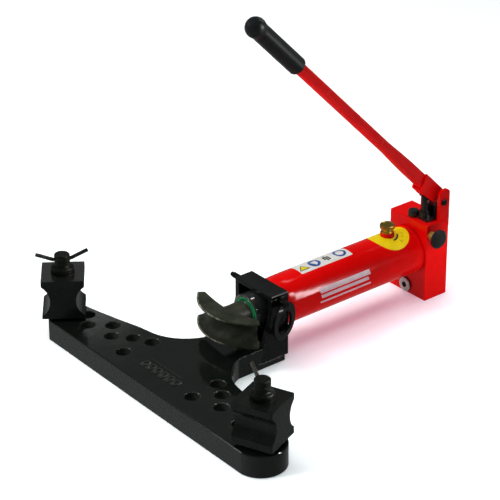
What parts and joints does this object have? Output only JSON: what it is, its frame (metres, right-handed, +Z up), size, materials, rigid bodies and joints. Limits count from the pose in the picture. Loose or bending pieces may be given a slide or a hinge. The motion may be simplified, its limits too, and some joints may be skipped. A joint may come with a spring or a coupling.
{
  "type": "conduit bender",
  "caption": "Hydraulic conduit bender: flat wing with corner formers on pins, a ram with a grooved bending former, an oil cylinder, and a pump block with a hand lever.",
  "frame": {"origin": "on the floor, midway between the two outer former pins", "axes": "+X along the wing, +Y along the ram towards the pump block, +Z up"},
  "size_m": [0.6219, 0.6451, 0.609],
  "materials": {
    "black_cast": "black enamel over a fine cast skin",
    "black_paint": "satin black paint",
    "olive_cast": "oiled bare casting, worn bright along the lips",
    "red_paint": "glossy red paint",
    "chrome": "hard chrome",
    "green_seal": "green polymer wiper",
    "black_rubber": "black rubber",
    "steel": "bright machined steel",
    "dark_steel": "oiled black-oxide steel",
    "brass": "plain brass",
    "black_plastic": "moulded black plastic"
  },
  "bodies": {
    "frame": {"bending_frame": "black_cast", "bracket_side_left": "black_paint", "bracket_side_right": "black_paint", "bracket_top_plate": "black_paint", "bracket_back_plate": "black_paint", "nose_sleeve": "black_paint", "nose_ring": "chrome", "wiper_seal": "green_seal", "cylinder_front_cap": "red_paint", "cylinder_tube": "red_paint", "cylinder_rear_collar": "red_paint", "pressure_barrel": "steel", "pump_block": "red_paint", "port_plug": "steel", "port_washer": "black_rubber", "lever_lug_left": "red_paint", "lever_lug_right": "red_paint", "pivot_bolt": "dark_steel", "pivot_nut": "dark_steel", "pivot_spacer_left": "steel", "pivot_spacer_right": "steel", "filler_boss": "red_paint", "filler_neck": "brass", "valve_seat": "brass", "plunger_gland": "dark_steel", "pump_head": "dark_steel"},
    "ram": {"ram_rod": "chrome", "ram_piston": "steel", "piston_seal": "black_rubber", "bending_former": "olive_cast", "former_screw": "steel"},
    "lever": {"lever_socket": "red_paint", "lever_drive_pin": "steel", "lever_tube": "red_paint", "lever_grip": "black_plastic"},
    "plunger": {"pump_plunger": "dark_steel"},
    "corner_former_left": {"corner_former_left": "black_cast"},
    "former_pin_left": {"former_pin_left": "dark_steel", "pin_handle_left": "dark_steel", "former_washer_left": "dark_steel"},
    "corner_former_right": {"corner_former_right": "black_cast"},
    "former_pin_right": {"former_pin_right": "dark_steel", "pin_handle_right": "dark_steel", "former_washer_right": "dark_steel"},
    "lock_pin": {"lock_pin": "dark_steel", "ring_rivet": "steel"},
    "pull_ring": {"pull_ring": "dark_steel"},
    "release_valve": {"valve_stem": "brass", "valve_knob": "black_plastic"},
    "filler_cap": {"filler_cap": "brass"},
    "vent_knob": {"vent_knob": "black_plastic"}
  },
  "joints": [
    {"name": "ram_slide", "type": "slide", "parent": "frame", "child": "ram", "axis": [0, -1, 0], "range_m": [0, 0.22]},
    {"name": "lever_pivot", "type": "hinge", "parent": "frame", "child": "lever", "pos_m": [0.02, 0.582, 0.18], "axis": [1, 0, 0], "range_deg": [-20, 30]},
    {"name": "plunger_slide", "type": "slide", "parent": "frame", "child": "plunger", "axis": [0, 0, 1], "range_m": [-0.0105, 0.0075]},
    {"name": "corner_former_left_turn", "type": "hinge", "parent": "frame", "child": "corner_former_left", "pos_m": [-0.2629, 0, 0.079], "axis": [0, 0, 1], "continuous": true},
    {"name": "former_pin_left_lift", "type": "slide", "parent": "frame", "child": "former_pin_left", "axis": [0, 0, 1], "range_m": [0, 0.125]},
    {"name": "corner_former_right_turn", "type": "hinge", "parent": "frame", "child": "corner_former_right", "pos_m": [0.2629, 0, 0.079], "axis": [0, 0, 1], "continuous": true},
    {"name": "former_pin_right_lift", "type": "slide", "parent": "frame", "child": "former_pin_right", "axis": [0, 0, 1], "range_m": [0, 0.125]},
    {"name": "lock_pin_pull", "type": "slide", "parent": "frame", "child": "lock_pin", "axis": [1, 0, 0], "range_m": [0, 0.13]},
    {"name": "pull_ring_swing", "type": "hinge", "parent": "lock_pin", "child": "pull_ring", "pos_m": [0.058, 0.2145, 0.113], "axis": [0.9511, 0.309, 0], "range_deg": [-24, 10]},
    {"name": "release_valve_turn", "type": "hinge", "parent": "frame", "child": "release_valve", "pos_m": [0.06, 0.553, 0.1262], "axis": [1, 0, 0], "range_deg": [0, 270]},
    {"name": "filler_cap_turn", "type": "hinge", "parent": "frame", "child": "filler_cap", "pos_m": [0, 0.494, 0.14], "axis": [0, 0, 1], "continuous": true},
    {"name": "vent_knob_turn", "type": "hinge", "parent": "frame", "child": "vent_knob", "pos_m": [0, 0.5555, 0.15], "axis": [0, 0, 1], "continuous": true}
  ],
  "couplings": [
    {"joint": "plunger_slide", "follows": "lever_pivot", "m_per_rad": -0.019}
  ]
}
